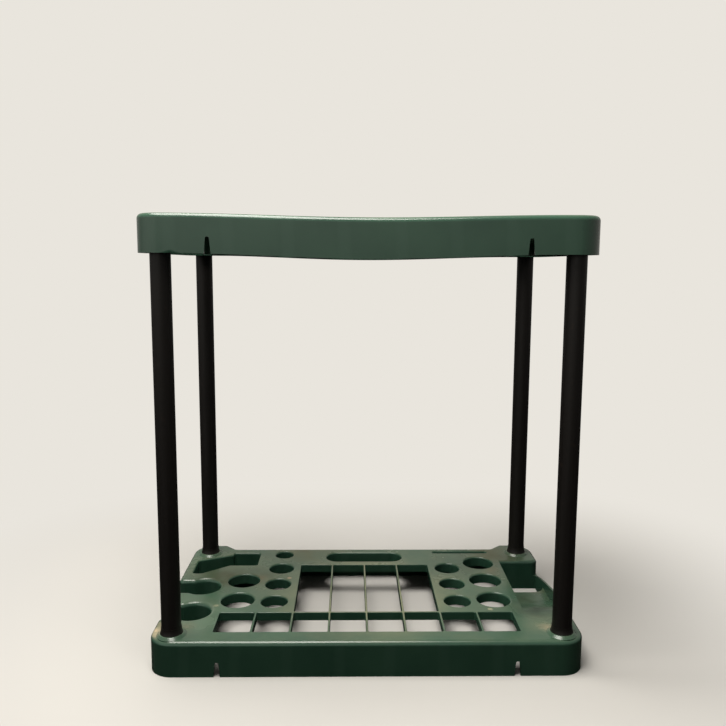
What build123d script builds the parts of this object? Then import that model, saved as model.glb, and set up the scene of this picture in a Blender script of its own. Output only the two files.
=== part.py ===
"""Knock-down garden tool rack: two moulded trays carried apart by four round posts.

Frame: millimetres, +Z up, front towards -Y, origin on the floor under the middle of the plan.
Both trays have the same plan of tool openings, so a long handle dropped through the top tray
stands in the opening below it.
"""
from build123d import *
import math
import os

# Driving dimensions of the whole rack
WIDTH = 600.0
DEPTH = 355.0
HEIGHT = 620.0

# Moulded trays
TRAY_HEIGHT = 50.0
WALL = 3.0
DECK = 3.0
CORNER_RADIUS = 33.0
EDGE_RADIUS = 6.5
LIP_RADIUS = 3.0
RIB_LIP = 1.2
HOLE_DEPTH = 16.0
RIB_DEPTH = 12.5

# Back edge: an ear at each corner stands out behind the middle
EAR_STEP = 19.0
EAR_WIDTH = 54.0
EAR_SLOPE = 19.0
EAR_RADIUS = 8.0

# Posts and their end collars
POST_DIAMETER = 27.0
POST_WALL = 1.5
POST_SIDE_INSET = 30.0
POST_FRONT_INSET = 24.0
POST_BACK_INSET = 39.0
COLLAR_DIAMETER = 31.0
COLLAR_END = 3.0
COLLAR_FLARE = 9.0
COLLAR_TIP = 0.5
TUBE_FIT = 0.1
SOCKET_DEPTH = 30.0
SOCKET_FIT = 0.3
SOCKET_WALL = 3.2
SOCKET_FLOOR = 3.0
RIM_HEIGHT = 3.2
RIM_FLAT = 1.4
RIM_SLOPE = 3.6
RIM_ROUND = 1.0
GUSSET = 3.0

# Front row of square cells, which goes on at both ends past the long cells behind it
ROW_INSET = 30.0
ROW_DEPTH = 58.0
CELL_WIDTH = 51.1
END_CELL_COUNT = 2
RIB = 3.0
CELL_RADIUS = 2.5
LAND = 16.0

# Carry handle slot and the thin slot in the back land
HANDLE_LENGTH = 130.0
HANDLE_WIDTH = 38.0
HANDLE_INSET = 38.0
SAW_SLOT_LENGTH = 96.0
SAW_SLOT_WIDTH = 8.0
SAW_SLOT_INSET = 17.0
SAW_SLOT_SIDE_INSET = 130.0

# Round tool holes, in columns on both sides of the long cells: as many as the least web allows
SMALL_HOLE = 40.0
SMALL_SIDE_INSET = 161.0
SMALL_FIRST = 37.0
SMALL_LAST = 87.0
SPARE_HOLE = 30.0
SPARE_INSET = 28.0
BIG_HOLE = 50.0
BIG_SIDE_INSET = 105.0
BIG_FIRST = 42.0
BIG_LAST = 65.0
WEB = 8.0

# Keyhole bays in the left edge
KEYHOLE = 54.0
KEYHOLE_NECK = 42.0
KEYHOLE_INSET = 43.0
KEYHOLE_FIRST = 94.5
KEYHOLE_PITCH = 86.0
KEYHOLE_ROUND = 7.0

# Bent slot round the back left post: places from the post's axis
BENT_WIDTH = 45.0
BENT_GAP = 8.0
BENT_STEP = 7.5
BENT_REACH = 88.0
BENT_KNEE = 42.0
BENT_FALL = 33.0
BENT_END = 14.0
BENT_RADIUS = 7.0
BENT_CORNER = 3.4

# Lowered shelf on the right edge, at the end of a ramp and in front of a well
SHELF_WIDTH = 68.0
SHELF_TOP = 23.0
RAMP_START = 82.0
CREST_SHARE = 0.3
SHELF_FLAT = 6.0
WELL_LENGTH = 65.0
WELL_ROUND = 20.0
GUARD_DROP = 27.0
BOSS_FACE = 38.0
BOSS_CORNER = 12.0
BOSS_EDGE = 5.0

# Notches in the lower edge of the front skirt
NOTCH_SIDE_INSET = 95.0
NOTCH_WIDTH = 8.6
NOTCH_HEIGHT = 21.0
NOTCH_TIP = 2.4

# Places that follow from the driving dimensions
SIDE = WIDTH / 2
FRONT = -DEPTH / 2
BACK = DEPTH / 2
REAR = BACK - EAR_STEP
ROW_FRONT = FRONT + ROW_INSET
ROW_BACK = ROW_FRONT + ROW_DEPTH
LONG_FRONT = ROW_BACK + RIB
SMALL_X = SIDE - SMALL_SIDE_INSET
BIG_X = SIDE - BIG_SIDE_INSET
LONG_ROOM = 2 * (SMALL_X - SMALL_HOLE / 2 - WEB)
LONG_CELLS = int((LONG_ROOM + RIB) / (CELL_WIDTH + RIB))
ROW_CELLS = LONG_CELLS + 2 * END_CELL_COUNT
HANDLE_Y = REAR - HANDLE_INSET
LONG_BACK = HANDLE_Y - HANDLE_WIDTH / 2 - LAND
POST_X = SIDE - POST_SIDE_INSET
POST_FRONT_Y = FRONT + POST_FRONT_INSET
POST_BACK_Y = BACK - POST_BACK_INSET
POSTS = {
    "front_left": (-POST_X, POST_FRONT_Y),
    "front_right": (POST_X, POST_FRONT_Y),
    "back_left": (-POST_X, POST_BACK_Y),
    "back_right": (POST_X, POST_BACK_Y),
}
TOP_Z = HEIGHT - TRAY_HEIGHT
SOCKET_RADIUS = COLLAR_DIAMETER / 2 + SOCKET_FIT
BOSS_RADIUS = SOCKET_RADIUS + SOCKET_WALL
RIM_TOP = TRAY_HEIGHT + RIM_HEIGHT
FOOT_STOP = RIM_TOP - SOCKET_DEPTH
HEAD_STOP = TRAY_HEIGHT - DECK - SOCKET_FLOOR
SHELF_X = SIDE - SHELF_WIDTH
RAMP_Y = FRONT + RAMP_START
WELL_END = POST_BACK_Y - BOSS_FACE
WELL_Y = WELL_END - WELL_LENGTH
SHELF_Y = WELL_Y - SHELF_FLAT
BENT_NEAR = POST_BACK_Y - BENT_GAP
BENT_FAR = BENT_NEAR - BENT_WIDTH
BENT_TOE = BENT_FAR - BENT_FALL
KEYHOLE_Y = FRONT + KEYHOLE_FIRST
KEYHOLE_ROOM = BENT_TOE - WEB - KEYHOLE / 2 - KEYHOLE_Y
KEYHOLE_COUNT = 1 + int(KEYHOLE_ROOM / KEYHOLE_PITCH)
LIP_SHARE = 0.4
TIP_SHARE = 0.9
UPWARD = 0.5
BEYOND = 10.0
SAME_PLACE = 0.1


def face(*points):
    """Flat face inside a closed run of straight lines."""
    return make_face(Polyline(*points, close=True))


def rounded(plan, places, radius):
    """Round the corners of a plan that lie nearest to the given places."""
    corners = [plan.vertices().sort_by_distance(place)[0] for place in places]
    return fillet(corners, radius)


def column(first, last, hole):
    """Places of as many evenly spaced holes as fit from first to last with a web between them."""
    gaps = max(int((last - first) / (hole + WEB)), 1)
    return [first + (last - first) * i / gaps for i in range(gaps + 1)]


def cells(low, high, count):
    """Row of equal cells about the middle, with a rib between neighbours."""
    row = []
    for i in range(count):
        x = (i - (count - 1) / 2) * (CELL_WIDTH + RIB)
        cell = Rectangle(CELL_WIDTH, high - low)
        row.append(Pos(x, (low + high) / 2) * fillet(cell.vertices(), CELL_RADIUS))
    return row


def round_holes():
    """Tool holes in columns, with one more big hole on the right and a spare one on the left."""
    small = column(ROW_BACK + SMALL_FIRST, REAR - SMALL_LAST, SMALL_HOLE)
    big = column(ROW_BACK + BIG_FIRST, REAR - BIG_LAST, BIG_HOLE)
    holes = [Pos(x, y) * Circle(SMALL_HOLE / 2) for x in (-SMALL_X, SMALL_X) for y in small]
    holes += [Pos(BIG_X, y) * Circle(BIG_HOLE / 2) for y in big]
    holes += [Pos(-BIG_X, y) * Circle(BIG_HOLE / 2) for y in big[:-1]]
    holes.append(Pos(-SMALL_X, REAR - SPARE_INSET) * Circle(SPARE_HOLE / 2))
    return holes


def bent_slot():
    """Slot that bends round the boss of the back left post, with a small step at its knee."""
    end = -POST_X - BENT_END
    knee = -POST_X + BENT_KNEE
    reach = -POST_X + BENT_REACH
    back = BENT_NEAR + BENT_STEP
    toe = [(end, POST_BACK_Y - BENT_FALL), (end, BENT_TOE), (-POST_X, BENT_TOE), (knee, BENT_FAR)]
    arm = [(reach, BENT_FAR), (reach, back), (knee, back), (knee, BENT_NEAR)]
    plan = rounded(face(*toe, *arm), toe, BENT_RADIUS)
    return rounded(plan, arm, BENT_CORNER)


def grid():
    """Square cells along the front and the long cells behind them."""
    return cells(ROW_FRONT, ROW_BACK, ROW_CELLS) + cells(LONG_FRONT, LONG_BACK, LONG_CELLS)


def slots():
    """Carry handle slot in the middle of the back and the thin slot on its right."""
    handle = Pos(0, HANDLE_Y) * SlotOverall(HANDLE_LENGTH, HANDLE_WIDTH)
    place = Pos(SIDE - SAW_SLOT_SIDE_INSET, REAR - SAW_SLOT_INSET)
    return [handle, place * SlotOverall(SAW_SLOT_LENGTH, SAW_SLOT_WIDTH)]


def outline():
    """Plan of a tray, with its back ears and the keyhole bays in its left edge."""
    ear = SIDE - EAR_WIDTH
    step = ear - EAR_SLOPE
    corners = [(-SIDE, FRONT), (SIDE, FRONT), (SIDE, BACK), (-SIDE, BACK)]
    bends = [(ear, BACK), (step, REAR), (-step, REAR), (-ear, BACK)]
    plan = face(*corners[:3], *bends, corners[3])
    plan = rounded(plan, corners, CORNER_RADIUS)
    plan = rounded(plan, bends, EAR_RADIUS)
    centre = KEYHOLE_INSET - SIDE
    throat = math.sqrt(KEYHOLE ** 2 - KEYHOLE_NECK ** 2) / 2
    for i in range(KEYHOLE_COUNT):
        y = KEYHOLE_Y + i * KEYHOLE_PITCH
        neck = Pos(centre - KEYHOLE_INSET / 2, y) * Rectangle(KEYHOLE_INSET, KEYHOLE_NECK)
        plan -= Pos(centre, y) * Circle(KEYHOLE / 2) + neck
        places = [(x, y + side * KEYHOLE_NECK / 2) for x in (-SIDE, centre - throat) for side in (-1, 1)]
        plan = rounded(plan, places, KEYHOLE_ROUND)
    return plan


def prism(plan, low, high):
    """Upright prism on a plan between two heights."""
    return Pos(0, 0, low) * extrude(plan, high - low)


def deck_face(block):
    """Upper face of a tray."""
    return block.faces().filter_by(lambda f: f.normal_at().Z > UPWARD).sort_by(SortBy.AREA)[-1]


def softened(block, plans, radius):
    """Round the deck's edge at each of the given openings."""
    middles = [plan.bounding_box().center() for plan in plans]
    edges = []
    for wire in deck_face(block).inner_wires():
        middle = wire.bounding_box().center()
        if any(math.hypot(middle.X - m.X, middle.Y - m.Y) < SAME_PLACE for m in middles):
            edges += wire.edges()
    return fillet(edges, radius)


def across(profile, low, high):
    """Prism on a Y-Z profile that runs along X between two places."""
    return Pos(low, 0, 0) * extrude(Plane.YZ * profile, high - low)


def ramp_profile():
    """Y-Z face of the air over the ramp and shelf, from the deck down and back to the boss."""
    length = SHELF_Y - RAMP_Y
    drop = TRAY_HEIGHT - SHELF_TOP
    meeting = (RAMP_Y + CREST_SHARE * length, TRAY_HEIGHT - CREST_SHARE * drop)
    crest = TangentArc((RAMP_Y, TRAY_HEIGHT), meeting, tangent=(1, 0))
    trough = TangentArc((SHELF_Y, SHELF_TOP), meeting, tangent=(-1, 0))
    sky = TRAY_HEIGHT + BEYOND
    rest = Polyline(
        (SHELF_Y, SHELF_TOP),
        (WELL_END, SHELF_TOP),
        (WELL_END, sky),
        (RAMP_Y - BEYOND, sky),
        (RAMP_Y - BEYOND, TRAY_HEIGHT),
        (RAMP_Y, TRAY_HEIGHT),
    )
    return make_face([crest, trough] + rest.edges())


def well_plan():
    """Plan of the open well between the shelf and the boss, round where the shelf meets the guard."""
    low, high = SHELF_X, SIDE - WALL
    well = face((low, WELL_Y), (high, WELL_Y), (high, WELL_END), (low, WELL_END))
    return rounded(well, [(high, WELL_Y)], WELL_ROUND)


def boss_corner(grow):
    """Plan outside the round corner of the back right boss, which faces the well."""
    x, y = SIDE - BOSS_CORNER, WELL_END + BOSS_CORNER
    reach = SIDE + BEYOND
    square = face((x, WELL_END - grow), (reach, WELL_END - grow), (reach, y), (x, y))
    return square - Pos(x, y) * Circle(BOSS_CORNER - grow)


def boss_edges(block):
    """Edges of the deck over the front and the round corner of the back right boss."""
    rim = deck_face(block).outer_wire().edges()
    low, high = WELL_END - SAME_PLACE, WELL_END + BOSS_CORNER
    return [edge for edge in rim if edge.center().X > SHELF_X and low < edge.center().Y < high]


def shelf_air(grow):
    """Space over the ramp and shelf, in the well and round the boss, grown by a wall thickness."""
    profile = ramp_profile()
    plan = well_plan()
    if grow > 0:
        profile = offset(profile, grow, kind=Kind.INTERSECTION)
        plan = offset(plan, grow, kind=Kind.INTERSECTION)
    over = across(profile, SHELF_X - grow, SIDE - WALL + grow)
    well = prism(plan, -BEYOND, SHELF_TOP + grow)
    corner = prism(boss_corner(grow), TRAY_HEIGHT - GUARD_DROP - grow, TRAY_HEIGHT + BEYOND)
    return over + well + corner


def guard_air():
    """Space over the outer guard wall, whose top edge dips from the deck towards the back."""
    sky = TRAY_HEIGHT + BEYOND
    end = (WELL_END, TRAY_HEIGHT - GUARD_DROP)
    dip = TangentArc((RAMP_Y, TRAY_HEIGHT), end, tangent=(1, 0))
    rest = Polyline(end, (WELL_END, sky), (RAMP_Y, sky), (RAMP_Y, TRAY_HEIGHT))
    return across(make_face([dip] + rest.edges()), SIDE - 2 * WALL, SIDE + BEYOND)


def notches():
    """Tapered notches with a round tip, cut into the lower edge of the front skirt."""
    half = NOTCH_WIDTH / 2
    plan = face((-half, -BEYOND), (half, -BEYOND), (half, 0), (NOTCH_TIP, NOTCH_HEIGHT),
                (-NOTCH_TIP, NOTCH_HEIGHT), (-half, 0))
    tip = [(NOTCH_TIP, NOTCH_HEIGHT), (-NOTCH_TIP, NOTCH_HEIGHT)]
    cut = extrude(Plane.XZ * rounded(plan, tip, TIP_SHARE * NOTCH_TIP), WALL, both=True)
    x = SIDE - NOTCH_SIDE_INSET
    return [Pos(side * x, FRONT + WALL / 2, 0) * cut for side in (-1, 1)]


def gussets():
    """Plans of the ribs that tie each post boss to the nearest side and end skirts."""
    plans = []
    for x, y in POSTS.values():
        end = math.copysign(DEPTH / 2, y)
        plans.append(Pos((x + math.copysign(SIDE, x)) / 2, y) * Rectangle(POST_SIDE_INSET, GUSSET))
        plans.append(Pos(x, (y + end) / 2) * Rectangle(GUSSET, abs(end - y)))
    return plans


def walls(openings):
    """Plan of the openings, each grown by the wall that stands round it under the deck."""
    return Sketch() + [offset(opening, WALL) for opening in openings]


def tray_shell():
    """Moulded tray standing on z = 0, with every tool opening and with solid post bosses."""
    plan = outline()
    bent = bent_slot()
    ribbed = grid()
    plain = round_holes() + slots()

    block = prism(plan, 0, TRAY_HEIGHT)
    block = fillet(deck_face(block).outer_wire().edges(), EDGE_RADIUS)
    block -= prism(Sketch() + ribbed + plain + bent, -BEYOND, TRAY_HEIGHT + BEYOND)
    block = softened(block, plain + [bent], min(LIP_RADIUS, WALL))
    block = softened(block, ribbed, min(RIB_LIP, LIP_SHARE * RIB))
    block -= shelf_air(0)
    block = fillet(boss_edges(block), BOSS_EDGE)
    block -= guard_air()

    inside = offset(plan, -WALL)
    deep = Sketch() + [offset(bent, WALL)] + discs(BOSS_RADIUS) + gussets()
    cavity = prism(inside - deep, -BEYOND, TRAY_HEIGHT - DECK)
    cavity -= prism(walls(ribbed), TRAY_HEIGHT - RIB_DEPTH, TRAY_HEIGHT)
    cavity -= prism(walls(plain), TRAY_HEIGHT - HOLE_DEPTH, TRAY_HEIGHT)
    block -= cavity - shelf_air(WALL)
    return block - notches()


def discs(radius):
    """Plans of equal discs on the axes of the four posts."""
    return [Pos(x, y) * Circle(radius) for x, y in POSTS.values()]


def socket_rim():
    """Raised rim for a socket of the lower tray, which slopes down to the deck."""
    low = TRAY_HEIGHT - DECK
    inner = SOCKET_RADIUS + RIM_FLAT
    outer = inner + RIM_SLOPE
    profile = face((0, low), (outer, low), (outer, TRAY_HEIGHT), (inner, RIM_TOP), (0, RIM_TOP))
    rim = revolve(Plane.XZ * profile, Axis.Z)
    return fillet(rim.edges().group_by(Axis.Z)[-1], RIM_ROUND)


def base_tray(shell):
    """Lower tray: its sockets open through raised rims on the deck and end on a floor."""
    rims = [Pos(x, y, 0) * socket_rim() for x, y in POSTS.values()]
    bores = Sketch() + discs(SOCKET_RADIUS)
    tray = shell + rims - prism(bores, FOOT_STOP, RIM_TOP + BEYOND)
    return tray - prism(bores, -BEYOND, FOOT_STOP - SOCKET_FLOOR)


def top_tray(shell):
    """Upper tray: its sockets open downwards, behind the skirt, and end under the deck."""
    tray = shell - prism(Sketch() + discs(SOCKET_RADIUS), -BEYOND, HEAD_STOP)
    return tray - prism(Sketch() + discs(BOSS_RADIUS), -BEYOND, HEAD_STOP - SOCKET_DEPTH)


def end_collar():
    """Moulded cup for a post's end, standing on z = 0, with a flare where the post leaves it."""
    bore = POST_DIAMETER / 2 + TUBE_FIT
    outer = COLLAR_DIAMETER / 2
    top = SOCKET_DEPTH + COLLAR_FLARE
    tip = (bore + COLLAR_TIP, top)
    base = (outer, SOCKET_DEPTH)
    flare = TangentArc(tip, base, tangent=(0, -1))
    rest = Polyline(base, (outer, 0), (0, 0), (0, COLLAR_END), (bore, COLLAR_END), (bore, top), tip)
    return revolve(Plane.XZ * make_face([flare] + rest.edges()), Axis.Z)


def post(low, high):
    """Round tube between two heights."""
    ring = Circle(POST_DIAMETER / 2) - Circle(POST_DIAMETER / 2 - POST_WALL)
    return prism(ring, low, high)


def main():
    """Build every piece in its place and write one file for each."""
    shell = tray_shell()
    pieces = {"base_tray": base_tray(shell), "top_tray": Pos(0, 0, TOP_Z) * top_tray(shell)}
    foot = FOOT_STOP
    head = TOP_Z + HEAD_STOP
    for name, (x, y) in POSTS.items():
        pieces["post_" + name] = Pos(x, y, 0) * post(foot + COLLAR_END, head - COLLAR_END)
        pieces["foot_collar_" + name] = Pos(x, y, foot) * end_collar()
        pieces["head_collar_" + name] = Pos(x, y, head) * Rot(180, 0, 0) * end_collar()
    os.makedirs("parts", exist_ok=True)
    for name, shape in pieces.items():
        export_step(shape, "parts/" + name + ".step")


main()
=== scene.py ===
"""Looks of a knock-down garden tool rack: its finishes, the sag of its upper tray and a plain studio.

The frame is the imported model's own: +Z up, front towards -Y, origin on the floor under the middle of
the rack. Lengths are metres, and values in millimetres say so in their names.
"""
import logging
import math
from dataclasses import dataclass
from enum import Enum
from typing import Any

import bmesh
import bpy
from mathutils import Matrix, Vector


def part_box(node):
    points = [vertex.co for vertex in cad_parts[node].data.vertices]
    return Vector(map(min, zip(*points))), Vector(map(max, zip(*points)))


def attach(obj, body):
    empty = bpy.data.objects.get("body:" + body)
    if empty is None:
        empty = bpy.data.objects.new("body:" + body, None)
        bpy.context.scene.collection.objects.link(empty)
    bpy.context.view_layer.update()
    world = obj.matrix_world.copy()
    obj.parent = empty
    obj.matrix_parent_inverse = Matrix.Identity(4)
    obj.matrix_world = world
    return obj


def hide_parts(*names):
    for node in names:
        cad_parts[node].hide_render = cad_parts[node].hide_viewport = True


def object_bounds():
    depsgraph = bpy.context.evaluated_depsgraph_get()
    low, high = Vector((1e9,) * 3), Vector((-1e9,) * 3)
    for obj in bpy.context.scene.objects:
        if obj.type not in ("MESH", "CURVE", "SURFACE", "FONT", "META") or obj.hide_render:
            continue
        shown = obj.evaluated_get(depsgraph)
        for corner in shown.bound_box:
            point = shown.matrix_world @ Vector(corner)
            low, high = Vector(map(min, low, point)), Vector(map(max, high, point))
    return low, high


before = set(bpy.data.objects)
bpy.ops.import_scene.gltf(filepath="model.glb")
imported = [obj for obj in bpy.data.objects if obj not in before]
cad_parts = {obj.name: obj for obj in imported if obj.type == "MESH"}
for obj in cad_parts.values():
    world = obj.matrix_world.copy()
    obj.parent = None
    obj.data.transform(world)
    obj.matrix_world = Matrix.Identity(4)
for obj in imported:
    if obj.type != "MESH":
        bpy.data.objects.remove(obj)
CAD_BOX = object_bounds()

Tree = bpy.types.NodeTree
Socket = bpy.types.NodeSocket

MM = 0.001
LOG = logging.getLogger("tool_rack")

# Sockets of the colour mixing node, which has several of the same name
MIX_SHARE, MIX_FROM, MIX_TO, MIXED = 0, 6, 7, 2

# Length in which a wave pattern of scale 1 repeats
WAVE_LENGTH = 2 * math.pi / 20

# Nearly all of a noise lies in the wide range, and patches with a clearer edge take the narrow one
NOISE_WIDE = (0.3, 0.7)
NOISE_NARROW = (0.35, 0.65)


def linear(hex_code: str) -> tuple[float, float, float, float]:
    """Turn an sRGB colour into linear light.

    Args:
        hex_code: Colour as #RRGGBB.

    Returns:
        Red, green and blue in linear light, and an alpha of 1.
    """
    parts = [int(hex_code[i:i + 2], 16) / 255 for i in (1, 3, 5)]
    red, green, blue = [p / 12.92 if p <= 0.04045 else ((p + 0.055) / 1.055) ** 2.4 for p in parts]
    return red, green, blue, 1.0


def add_node(
    tree: Tree,
    kind: str,
    settings: dict[str, Any] | None = None,
    sockets: dict[str | int, Any] | None = None,
) -> bpy.types.Node:
    """Add a node with its settings and links.

    Args:
        tree: Node tree that gets the node.
        kind: The node's type.
        settings: Values of the node's own properties.
        sockets: For an input's name or number, a value, or an output that is linked to it.

    Returns:
        The new node.
    """
    node = tree.nodes.new(kind)
    for name, value in (settings or {}).items():
        setattr(node, name, value)
    for key, value in (sockets or {}).items():
        if isinstance(value, Socket):
            tree.links.new(value, node.inputs[key])
        else:
            node.inputs[key].default_value = value
    return node


def blend(tree: Tree, share: Socket, start: Any, end: Any) -> Socket:
    """Turn one colour into another.

    Args:
        tree: Node tree that gets the node.
        share: How far the colour has turned.
        start: Colour, or colour output, where the share is 0.
        end: Colour, or colour output, where the share is 1.

    Returns:
        Colour output.
    """
    sockets = {MIX_SHARE: share, MIX_FROM: start, MIX_TO: end}
    return add_node(tree, "ShaderNodeMix", {"data_type": "RGBA"}, sockets).outputs[MIXED]


def ranged(
    tree: Tree,
    value: Socket,
    span: tuple[float, float],
    reach: tuple[Any, Any] = (0.0, 1.0),
    smooth: bool = False,
) -> Socket:
    """Map one range of values onto another, and stop at its ends.

    Args:
        tree: Node tree that gets the node.
        value: What is mapped.
        span: Where the change starts and ends.
        reach: What the value becomes there, as numbers or outputs.
        smooth: Whether the change is eased at both ends.

    Returns:
        Value output.
    """
    settings = {"interpolation_type": "SMOOTHSTEP" if smooth else "LINEAR"}
    sockets = {"Value": value, "From Min": span[0], "From Max": span[1], "To Min": reach[0], "To Max": reach[1]}
    return add_node(tree, "ShaderNodeMapRange", settings, sockets).outputs["Result"]


def product(tree: Tree, *factors: Socket) -> Socket:
    """Multiply outputs.

    Args:
        tree: Node tree that gets the nodes.
        factors: What is multiplied.

    Returns:
        Value output.
    """
    result = factors[0]
    for factor in factors[1:]:
        result = add_node(tree, "ShaderNodeMath", {"operation": "MULTIPLY"}, {0: result, 1: factor}).outputs[0]
    return result


def noise(tree: Tree, place: Socket, size_mm: float, layers: float = 0.0) -> Socket:
    """Noise of one real size.

    Args:
        tree: Node tree that gets the node.
        place: Coordinates on the piece.
        size_mm: Size of a blotch.
        layers: How many finer layers it has.

    Returns:
        Output about 0.5.
    """
    sockets = {"Vector": place, "Scale": 1 / (size_mm * MM), "Detail": layers}
    return add_node(tree, "ShaderNodeTexNoise", None, sockets).outputs["Fac"]


def parts_of(tree: Tree, vector: Socket) -> bpy.types.NodeOutputs:
    """The X, Y and Z of a vector output."""
    return add_node(tree, "ShaderNodeSeparateXYZ", None, {"Vector": vector}).outputs


def new_material(name: str) -> tuple[bpy.types.Material, Tree]:
    """Make an empty node material.

    Args:
        name: Name of the material.

    Returns:
        The material and its node tree.
    """
    material = bpy.data.materials.new(name)
    material.use_nodes = True
    material.node_tree.nodes.clear()
    return material, material.node_tree


def paint(piece: bpy.types.Object, material: bpy.types.Material) -> None:
    """Put one material in every slot of a piece."""
    if not piece.material_slots:
        piece.data.materials.append(material)
    for slot in piece.material_slots:
        slot.material = material


@dataclass(frozen=True)
class Skin:
    """Relief of a surface that only its gloss shows.

    Attributes:
        strength: How far it turns the normal.
        depth_mm: Height of the relief.
    """

    strength: float
    depth_mm: float

    def normal(self, tree: Tree, height: Socket, below: Socket | None = None) -> Socket:
        """Bump the surface.

        Args:
            tree: The material's nodes.
            height: Pattern of the relief.
            below: Normal of a relief under this one.

        Returns:
            Normal output.
        """
        sockets = {"Strength": self.strength, "Distance": self.depth_mm * MM, "Height": height}
        if below:
            sockets["Normal"] = below
        return add_node(tree, "ShaderNodeBump", None, sockets).outputs["Normal"]


class Facing(Enum):
    """Which way a surface looks, as the range of its normal's height where a film starts and is full."""

    UP = (0.45, 0.95)
    SIDE = (0.55, 0.15)

    def mask(self, tree: Tree) -> Socket:
        """Output that is 1 on the surfaces that look this way."""
        normal = add_node(tree, "ShaderNodeNewGeometry").outputs["Normal"]
        return ranged(tree, parts_of(tree, normal)["Z"], self.value, smooth=True)


@dataclass(frozen=True)
class Mark:
    """A spot on a tray: a stain, scuff or worn spot, and in some cases a spot of painted light or painted shade.

    Attributes:
        place_mm: Middle of the mark.
        radius_mm: How far it reaches.
        colour: The colour that it paints on the plastic.
        share: How much it covers at its middle.
        patch: Size of the patches in it, as a share of its radius.
        least_patch_mm: Smallest size of a patch.
        patch_layers: How many finer layers the patches have.
        thin: What is left of the mark between its patches.
    """

    place_mm: tuple[float, float, float]
    radius_mm: float
    colour: str
    share: float
    patch: float = 0.4
    least_patch_mm: float = 1.5
    patch_layers: float = 2.0
    thin: float = 0.5

    def cover(self, tree: Tree, place: Socket, up: Socket) -> Socket:
        """Where the mark lies, patchy and soft at its edge.

        Args:
            tree: The material's nodes.
            place: Coordinates on the piece.
            up: Mask of the upward faces.

        Returns:
            Output with the share that the mark covers.
        """
        middle = [v * MM for v in self.place_mm]
        distance = add_node(tree, "ShaderNodeVectorMath", {"operation": "DISTANCE"}, {0: place, 1: middle})
        within = ranged(
            tree, distance.outputs["Value"], (self.radius_mm * MM, 0.0), (0.0, self.share), smooth=True
        )
        patch_mm = max(self.radius_mm * self.patch, self.least_patch_mm)
        pattern = noise(tree, place, patch_mm, self.patch_layers)
        patches = ranged(tree, pattern, NOISE_NARROW, (self.thin, 1.0))
        return product(tree, within, patches, up)


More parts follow.
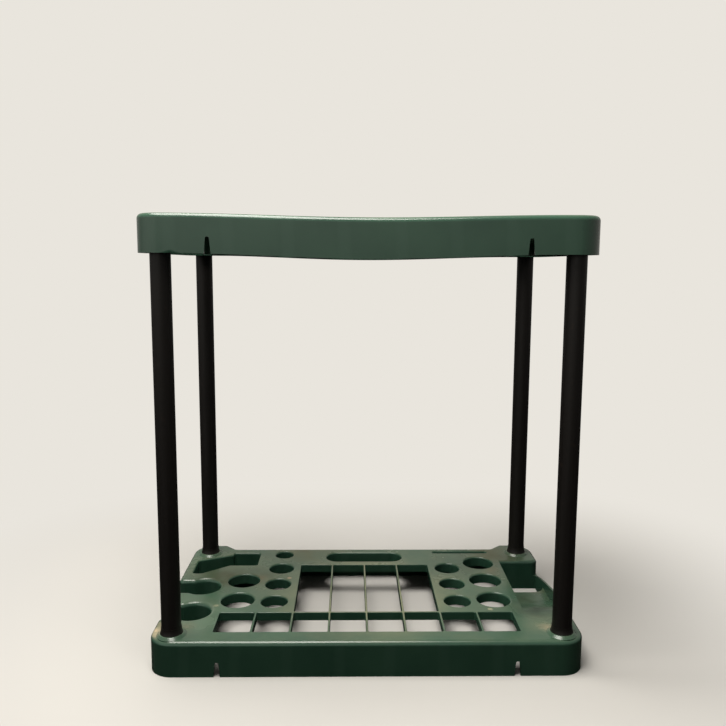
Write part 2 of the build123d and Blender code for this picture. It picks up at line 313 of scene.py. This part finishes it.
@dataclass(frozen=True)
class MouldedPolypropylene:
    """Injection-moulded polypropylene with a satin skin.

    The eye sees a deep bottle green that pales where it mirrors the room at a flat angle, a slow ripple in
    the gloss, faint upright flow bands on the skirt, and grey-brown dust on everything that faces up. Its
    marks add stains, and also painted light and painted shade.
    """

    name: str
    # Stains and wear, and spots of painted light and painted shade, laid over the dust
    marks: tuple[Mark, ...] = ()
    dust_share: float = 0.2
    green: str = "#365A47"
    deep_green: str = "#2E5140"
    band_green: str = "#456655"
    dust: str = "#8F8869"
    ior: float = 1.49
    # Clean plastic first, then under a full layer of dirt or a full mark, so marks of painted light and shade
    # also dull the gloss
    roughness: tuple[float, float] = (0.22, 0.5)
    gloss: tuple[float, float] = (0.5, 0.15)
    drift_mm: float = 90.0
    drift_layers: float = 3.0
    # The dust's drifts and specks, from thin to full, and its share from the front to the back
    film_mm: float = 60.0
    film_layers: float = 4.0
    film_reach: tuple[float, float] = (0.35, 1.0)
    speckle_mm: float = 9.0
    speckle_reach: tuple[float, float] = (0.88, 1.1)
    front_to_back: tuple[float, float] = (-120.0 * MM, 160.0 * MM)
    dust_reach: tuple[float, float] = (0.7, 1.15)
    # Flow bands, with the part of each wave that shows and how they waver
    band_mm: float = 72.0
    band_share: float = 0.22
    band_part: tuple[float, float] = (0.8, 1.0)
    band_bend: float = 1.5
    band_bend_scale: float = 0.6
    band_bend_layers: float = 2.0
    ripple_mm: float = 22.0
    ripple: Skin = Skin(0.25, 0.12)
    # Real mould texture is about 0.3 mm and doesn't show at this distance, so it is drawn coarser
    grain_mm: float = 2.5
    grain: Skin = Skin(0.06, 0.04)

    def material(self) -> bpy.types.Material:
        """Make the node material."""
        material, tree = new_material(self.name)
        place = add_node(tree, "ShaderNodeTexCoord").outputs["Object"]
        up = Facing.UP.mask(tree)
        soil_and_painted_light = self._film(tree, place, up)
        colour = blend(tree, soil_and_painted_light, self._pigment(tree, place), linear(self.dust))
        # Each mark paints a stain or a spot of painted light or shade, and dulls the gloss where it lies
        for mark in self.marks:
            cover = mark.cover(tree, place, up)
            colour = blend(tree, cover, colour, linear(mark.colour))
            soil_and_painted_light = add_node(tree, "ShaderNodeMath", {"operation": "MAXIMUM"}, {0: soil_and_painted_light, 1: cover}).outputs[0]
        ripple = self.ripple.normal(tree, noise(tree, place, self.ripple_mm))
        grain = self.grain.normal(tree, noise(tree, place, self.grain_mm), ripple)
        shader = add_node(
            tree, "ShaderNodeBsdfPrincipled", None,
            {"Base Color": colour, "Roughness": ranged(tree, soil_and_painted_light, (0.0, 1.0), self.roughness), "IOR": self.ior,
             "Specular IOR Level": ranged(tree, soil_and_painted_light, (0.0, 1.0), self.gloss), "Normal": grain},
        )
        add_node(tree, "ShaderNodeOutputMaterial", None, {"Surface": shader.outputs["BSDF"]})
        return material

    def _pigment(self, tree: Tree, place: Socket) -> Socket:
        """Green of the plastic, which drifts slowly and has flow bands on the skirt.

        Args:
            tree: The material's nodes.
            place: Coordinates on the piece.

        Returns:
            Colour output.
        """
        drift = ranged(tree, noise(tree, place, self.drift_mm, self.drift_layers), NOISE_NARROW)
        colour = blend(tree, drift, linear(self.deep_green), linear(self.green))
        bands = add_node(
            tree, "ShaderNodeTexWave", {"bands_direction": "X"},
            {"Vector": place, "Scale": WAVE_LENGTH / (self.band_mm * MM), "Distortion": self.band_bend,
             "Detail": self.band_bend_layers, "Detail Scale": self.band_bend_scale},
        ).outputs["Fac"]
        narrow = ranged(tree, bands, self.band_part, (0.0, self.band_share), smooth=True)
        on_skirt = product(tree, narrow, Facing.SIDE.mask(tree))
        return blend(tree, on_skirt, colour, linear(self.band_green))

    def _film(self, tree: Tree, place: Socket, up: Socket) -> Socket:
        """Dust that lies on what faces up, in drifts and specks, thicker towards the back.

        Args:
            tree: The material's nodes.
            place: Coordinates on the piece.
            up: Mask of the upward faces.

        Returns:
            Output with the share that the dust covers.
        """
        pattern = noise(tree, place, self.film_mm, self.film_layers)
        drifts = ranged(tree, pattern, NOISE_WIDE, self.film_reach, smooth=True)
        specks = ranged(tree, noise(tree, place, self.speckle_mm), NOISE_WIDE, self.speckle_reach)
        thin, thick = [share * self.dust_share for share in self.dust_reach]
        to_back = ranged(tree, parts_of(tree, place)["Y"], self.front_to_back, (thin, thick))
        return product(tree, up, drifts, specks, to_back)


@dataclass(frozen=True)
class CoatedSteelTube:
    """Welded steel tube with a baked black coating.

    The eye sees a near-black satin with a hint of brown, faint lines along the tube from its drawing, and
    small rubbed spots.
    """

    name: str
    black: str = "#0F0C0A"
    rubbed: str = "#2A211A"
    # Lower than the resin's own, because the pores of the coating swallow part of the gloss
    ior: float = 1.33
    roughness: tuple[float, float] = (0.38, 0.52)
    line_mm: tuple[float, float, float] = (1.6, 1.6, 140.0)
    line_layers: float = 3.0
    lines: Skin = Skin(0.2, 0.05)
    spot_mm: float = 9.0
    spot_layers: float = 6.0
    spot_part: tuple[float, float] = (0.6, 0.78)
    spot_share: float = 0.35

    def material(self) -> bpy.types.Material:
        """Make the node material."""
        material, tree = new_material(self.name)
        place = add_node(tree, "ShaderNodeTexCoord").outputs["Object"]
        stretch = [1 / (v * MM) for v in self.line_mm]
        stretched = add_node(tree, "ShaderNodeMapping", None, {"Vector": place, "Scale": stretch})
        lines = add_node(
            tree, "ShaderNodeTexNoise", None,
            {"Vector": stretched.outputs["Vector"], "Scale": 1.0, "Detail": self.line_layers},
        ).outputs["Fac"]
        spots = noise(tree, place, self.spot_mm, self.spot_layers)
        worn = ranged(tree, spots, self.spot_part, (0.0, self.spot_share), smooth=True)
        shader = add_node(
            tree, "ShaderNodeBsdfPrincipled", None,
            {"Base Color": blend(tree, worn, linear(self.black), linear(self.rubbed)),
             "Roughness": ranged(tree, lines, NOISE_WIDE, self.roughness), "IOR": self.ior,
             "Normal": self.lines.normal(tree, lines)},
        )
        add_node(tree, "ShaderNodeOutputMaterial", None, {"Surface": shader.outputs["BSDF"]})
        return material


@dataclass(frozen=True)
class MouldedPolyethylene:
    """Black polyethylene from a plain mould.

    The eye sees a black as deep as the tube's, with a fine pebbled skin and a trace of dust.
    """

    name: str
    black: str = "#0E0C0A"
    dust: str = "#4A4438"
    dust_part: tuple[float, float] = (0.35, 0.7)
    dust_share: float = 0.03
    # Lower than the resin's own, because the pebbled skin swallows part of the gloss
    ior: float = 1.33
    roughness: float = 0.44
    # Real pebbling is about 0.4 mm and doesn't show at this distance, so it is drawn coarser
    pebble_mm: float = 1.5
    pebble_layers: float = 4.0
    pebbles: Skin = Skin(0.25, 0.06)

    def material(self) -> bpy.types.Material:
        """Make the node material."""
        material, tree = new_material(self.name)
        place = add_node(tree, "ShaderNodeTexCoord").outputs["Object"]
        pebbles = noise(tree, place, self.pebble_mm, self.pebble_layers)
        dusty = ranged(tree, pebbles, self.dust_part, (0.0, self.dust_share))
        shader = add_node(
            tree, "ShaderNodeBsdfPrincipled", None,
            {"Base Color": blend(tree, dusty, linear(self.black), linear(self.dust)), "Roughness": self.roughness,
             "IOR": self.ior, "Normal": self.pebbles.normal(tree, pebbles)},
        )
        add_node(tree, "ShaderNodeOutputMaterial", None, {"Surface": shader.outputs["BSDF"]})
        return material


@dataclass
class BaseTray:
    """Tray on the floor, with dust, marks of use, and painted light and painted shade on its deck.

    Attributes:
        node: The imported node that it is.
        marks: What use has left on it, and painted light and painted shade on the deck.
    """

    node: str = "base_tray"
    marks: tuple[Mark, ...] = (
        # Pale tan over the middle of the deck: dust on the rib tops, and a painted highlight where their rounded
        # tops catch the lamp
        Mark((0.0, -25.0, 50.0), 190.0, "#C2B992", 0.5),
        # Pale mint at the front left: painted light, where the lamp reaches the deck in front of the upper tray
        Mark((-250.0, -115.0, 50.0), 110.0, "#93A890", 0.32),
        Mark((-294.0, -146.0, 49.0), 24.0, "#E0C8A4", 0.8),
        Mark((-292.0, -124.0, 49.0), 16.0, "#B09A78", 0.5),
        Mark((-254.0, -130.0, 50.0), 18.0, "#8C7A5C", 0.3),
        Mark((-224.0, -67.0, 50.0), 7.0, "#B5AD8C", 0.5),
        # These two dark olive patches: dirt, and painted shade of the upper tray on the middle of the deck
        Mark((-226.0, 30.0, 50.0), 75.0, "#3E402C", 0.85),
        Mark((-170.0, 40.0, 50.0), 60.0, "#4A4630", 0.6),
        Mark((-172.0, 30.0, 50.0), 22.0, "#7C6A4C", 0.4),
        Mark((-123.0, 32.0, 50.0), 6.0, "#C9A583", 0.6),
        # The next four dark olive patches: dirt, and painted shade of the upper tray on the middle and back of
        # the deck
        Mark((-250.0, 60.0, 50.0), 60.0, "#4A4A36", 0.35),
        Mark((-100.0, 140.0, 50.0), 90.0, "#5E5840", 0.6),
        Mark((190.0, 70.0, 50.0), 80.0, "#4A4630", 0.4),
        Mark((222.0, 135.0, 50.0), 80.0, "#4E4A34", 0.7),
        Mark((214.0, 60.0, 50.0), 24.0, "#7C6A4C", 0.35),
        Mark((184.0, -81.0, 50.0), 6.0, "#CFC8A2", 0.6),
        Mark((252.0, -125.0, 50.0), 46.0, "#8C8868", 0.35),
        Mark((254.0, -138.0, 50.0), 18.0, "#B4A184", 0.45),
        # Dark green on the ramp: painted shade, where it slopes away from the lamp
        Mark((258.0, -70.0, 47.0), 64.0, "#2A342A", 1.0),
        Mark((260.0, -49.0, 37.0), 2.6, "#DCE3D3", 0.9),
        # Dark green on the low shelf: painted shade in the recess
        Mark((258.0, 5.0, 28.0), 56.0, "#34422F", 0.85),
        Mark((285.0, 46.0, 23.0), 24.0, "#5E4E34", 0.6),
    )

    def dress(self) -> None:
        """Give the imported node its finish."""
        # Its finish holds dust and stains, and painted light and painted shade
        finish = MouldedPolypropylene("Polypropylene_moulded_dusty_painted_light", self.marks, dust_share=0.22)
        paint(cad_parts[self.node], finish.material())
        LOG.info("%s dressed with %d marks", self.node, len(self.marks))


@dataclass
class TopTray:
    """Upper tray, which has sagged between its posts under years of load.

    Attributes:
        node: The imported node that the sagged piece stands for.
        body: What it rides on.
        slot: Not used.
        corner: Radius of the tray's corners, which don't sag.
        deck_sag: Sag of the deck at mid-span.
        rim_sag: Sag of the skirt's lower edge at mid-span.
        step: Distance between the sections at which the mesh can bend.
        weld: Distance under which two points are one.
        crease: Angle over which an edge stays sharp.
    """

    node: str = "top_tray"
    body: str = "top"
    slot: str = "tray_plastic"
    corner: float = 33.0 * MM
    deck_sag: float = 4.4 * MM
    rim_sag: float = 6.4 * MM
    step: float = 15.0 * MM
    weld: float = 0.002 * MM
    crease: float = math.radians(32)

    def build(self) -> bpy.types.Object:
        """Make the sagged piece.

        Returns:
            The new piece, in place.
        """
        rim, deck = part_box(self.node)
        span = deck.x - self.corner
        shape = bmesh.new()
        shape.from_mesh(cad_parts[self.node].data)
        bmesh.ops.remove_doubles(shape, verts=shape.verts, dist=self.weld)
        sections = math.ceil(2 * span / self.step)
        for i in range(sections + 1):
            place = Vector((span * (2 * i / sections - 1), 0, 0))
            everything = [*shape.verts, *shape.edges, *shape.faces]
            bmesh.ops.bisect_plane(
                shape, geom=everything, dist=self.weld, plane_co=place, plane_no=Vector((1, 0, 0))
            )
        for vert in shape.verts:
            out = min(abs(vert.co.x) / span, 1.0)
            height = (vert.co.z - rim.z) / (deck.z - rim.z)
            sag = self.rim_sag + (self.deck_sag - self.rim_sag) * height
            vert.co.z -= sag * (1 + math.cos(math.pi * out)) / 2
        mesh = bpy.data.meshes.new("top_tray_sagged")
        shape.to_mesh(mesh)
        shape.free()
        mesh.shade_smooth()
        mesh.set_sharp_from_angle(angle=self.crease)
        piece = bpy.data.objects.new("top_tray_sagged", mesh)
        bpy.context.scene.collection.objects.link(piece)
        smooth = piece.modifiers.new("even_normals", "WEIGHTED_NORMAL")
        smooth.keep_sharp = True
        LOG.info("%s has %d sections and %d faces", piece.name, sections, len(mesh.polygons))
        return piece

    def dress(self, piece: bpy.types.Object) -> None:
        """Finish the piece and set it in the frame.

        Args:
            piece: What build made.
        """
        finish = MouldedPolypropylene("Polypropylene_moulded_clean", dust_share=0.2)
        paint(piece, finish.material())
        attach(piece, self.body)
        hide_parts(self.node)


@dataclass
class Posts:
    """The four tubes and the collars on their ends.

    Attributes:
        tube: Start of the tubes' node names.
        collars: Starts of the collars' node names.
    """

    tube: str = "post_"
    collars: tuple[str, ...] = ("foot_collar_", "head_collar_")

    def dress(self) -> None:
        """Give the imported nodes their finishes."""
        coated = CoatedSteelTube("Steel_tube_coated_black").material()
        moulded = MouldedPolyethylene("Polyethylene_moulded_black").material()
        for name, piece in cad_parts.items():
            if name.startswith(self.tube):
                paint(piece, coated)
            elif name.startswith(self.collars):
                paint(piece, moulded)
            else:
                continue
            LOG.info("%s dressed", name)


@dataclass
class SoftBox:
    """A plain rectangular studio lamp.

    Attributes:
        name: What it is for.
        place: Where it hangs.
        aim: Point that it faces.
        size: Its two sides.
        watts: Its power.
        colour: Tint of its light.
    """

    name: str
    place: tuple[float, float, float]
    aim: tuple[float, float, float]
    size: tuple[float, float]
    watts: float
    colour: str = "#FFFBF4"

    def hang(self) -> None:
        """Add the lamp to the scene."""
        data = bpy.data.lights.new(self.name, "AREA")
        data.shape = "RECTANGLE"
        data.size, data.size_y = self.size
        data.energy = self.watts
        data.color = linear(self.colour)[:3]
        lamp = bpy.data.objects.new(self.name, data)
        lamp.location = self.place
        away = Vector(self.place) - Vector(self.aim)
        lamp.rotation_euler = away.to_track_quat("Z", "Y").to_euler()
        bpy.context.scene.collection.objects.link(lamp)


@dataclass
class Studio:
    """Pale floor, pale surroundings and soft lamps.

    Attributes:
        floor_colour: What the camera sees of the floor.
        floor_return: Colour of the light that the floor sends back.
        room_colour: What the camera and the gloss see past the floor.
        room_light: Strength of the surroundings as a lamp, in front and behind.
        light_turn: Part of the way from front to back over which that strength changes.
        room_gloss: Strength of the surroundings in the gloss, away from the bright side and towards it.
        gloss_turn: How near the bright side that strength starts to rise, and where it is full.
        bright_side: Heading of the bright side, in front and to the left.
        floor_reach: Half the floor's side.
        fade: Distance from the rack over which the floor turns into the room.
        lamps: The soft boxes.
    """

    floor_colour: str = "#C9C7C3"
    floor_return: str = "#2F2E2C"
    room_colour: str = "#E9E5DD"
    room_light: tuple[float, float] = (0.03, 0.36)
    light_turn: tuple[float, float] = (-0.5, 0.5)
    room_gloss: tuple[float, float] = (0.6, 1.85)
    gloss_turn: tuple[float, float] = (0.5, 1.0)
    bright_side: tuple[float, float, float] = (-0.62, -0.78, 0.0)
    floor_reach: float = 14.0
    fade: float = 0.55
    lamps: tuple[SoftBox, ...] = (
        SoftBox("key_box", (-0.35, -0.3, 1.95), (0.0, -0.1, 0.3), (1.4, 0.9), 60.0),
    )

    def build(self) -> None:
        """Make the floor, the surroundings and the lamps."""
        self._floor()
        self._room()
        for lamp in self.lamps:
            lamp.hang()
        LOG.info("studio with %d lamps", len(self.lamps))

    def _floor(self) -> None:
        """Lay the floor, which keeps the rack's shadow and fades into the room."""
        reach = self.floor_reach
        mesh = bpy.data.meshes.new("floor")
        corners = [(-reach, -reach, 0), (reach, -reach, 0), (reach, reach, 0), (-reach, reach, 0)]
        mesh.from_pydata(corners, [], [(0, 1, 2, 3)])
        floor = bpy.data.objects.new("floor", mesh)
        bpy.context.scene.collection.objects.link(floor)
        material, tree = new_material("Floor_pale_matt")
        seen = add_node(tree, "ShaderNodeLightPath").outputs["Is Camera Ray"]
        colour = blend(tree, seen, linear(self.floor_return), linear(self.floor_colour))
        matt = add_node(tree, "ShaderNodeBsdfDiffuse", None, {"Color": colour}).outputs["BSDF"]
        room = add_node(tree, "ShaderNodeEmission", None, {"Color": linear(self.room_colour)}).outputs["Emission"]
        place = add_node(tree, "ShaderNodeTexCoord").outputs["Object"]
        outward = add_node(tree, "ShaderNodeVectorMath", {"operation": "ABSOLUTE"}, {0: place}).outputs["Vector"]
        beside = add_node(
            tree, "ShaderNodeVectorMath", {"operation": "SUBTRACT"}, {0: outward, 1: CAD_BOX[1]}
        ).outputs["Vector"]
        clear = add_node(
            tree, "ShaderNodeVectorMath", {"operation": "MAXIMUM"}, {0: beside, 1: (0, 0, 0)}
        ).outputs["Vector"]
        distance = add_node(tree, "ShaderNodeVectorMath", {"operation": "LENGTH"}, {0: clear}).outputs["Value"]
        share = product(tree, ranged(tree, distance, (0.0, self.fade), smooth=True), seen)
        surface = add_node(tree, "ShaderNodeMixShader", None, {0: share, 1: matt, 2: room}).outputs[0]
        add_node(tree, "ShaderNodeOutputMaterial", None, {"Surface": surface})
        paint(floor, material)

    def _room(self) -> None:
        """Make the surroundings pale to the camera and the gloss, and dimmer as a lamp."""
        world = bpy.data.worlds.new("pale_room")
        world.use_nodes = True
        tree = world.node_tree
        tree.nodes.clear()
        path = add_node(tree, "ShaderNodeLightPath").outputs
        heading = add_node(tree, "ShaderNodeTexCoord").outputs["Generated"]
        light = ranged(tree, parts_of(tree, heading)["Y"], self.light_turn, self.room_light, smooth=True)
        facing = add_node(
            tree, "ShaderNodeVectorMath", {"operation": "DOT_PRODUCT"}, {0: heading, 1: self.bright_side}
        ).outputs["Value"]
        gloss = ranged(tree, facing, self.gloss_turn, self.room_gloss)
        lamp = ranged(tree, path["Is Glossy Ray"], (0.0, 1.0), (light, gloss))
        strength = ranged(tree, path["Is Camera Ray"], (0.0, 1.0), (lamp, 1.0))
        glow = add_node(
            tree, "ShaderNodeBackground", None, {"Color": linear(self.room_colour), "Strength": strength}
        ).outputs["Background"]
        add_node(tree, "ShaderNodeOutputWorld", None, {"Surface": glow})
        bpy.context.scene.world = world


@dataclass
class PhotoCamera:
    """Camera that stands where the photograph was taken.

    Attributes:
        place: Where it stands.
        pitch, yaw, roll: Its turn in degrees: down, to the right, and about its own line of sight.
        focal_px: Focal length in pixels.
        image_px: Side of the square picture.
        sensor_mm: Width of the sensor.
    """

    place: tuple[float, float, float] = (-0.0245, -1.1324, 0.5571)
    pitch: float = 7.53
    yaw: float = 0.97
    roll: float = -0.27
    focal_px: float = 749.0
    image_px: float = 726.0
    sensor_mm: float = 36.0

    def build(self) -> None:
        """Add the camera and make it the scene's."""
        data = bpy.data.cameras.new("photo_camera")
        data.sensor_width = self.sensor_mm
        data.lens = self.sensor_mm * self.focal_px / self.image_px
        camera = bpy.data.objects.new("photo_camera", data)
        pitch, yaw, roll = [math.radians(v) for v in (self.pitch, self.yaw, self.roll)]
        ahead = Vector((math.sin(yaw) * math.cos(pitch), math.cos(yaw) * math.cos(pitch), -math.sin(pitch)))
        level = Vector((math.cos(yaw), -math.sin(yaw), 0))
        down = ahead.cross(level)
        right = math.cos(roll) * level + math.sin(roll) * down
        up = math.sin(roll) * level - math.cos(roll) * down
        turn = Matrix((right, up, -ahead)).transposed()
        camera.matrix_world = Matrix.Translation(self.place) @ turn.to_4x4()
        bpy.context.scene.collection.objects.link(camera)
        bpy.context.scene.camera = camera


def main() -> None:
    """Dress the rack and set it in the studio."""
    logging.basicConfig(level=logging.INFO, format="%(name)s: %(message)s")
    bpy.context.scene.view_settings.view_transform = "Standard"
    BaseTray().dress()
    top = TopTray()
    top.dress(top.build())
    Posts().dress()
    Studio().build()
    PhotoCamera().build()


if __name__ == "__main__":
    main()
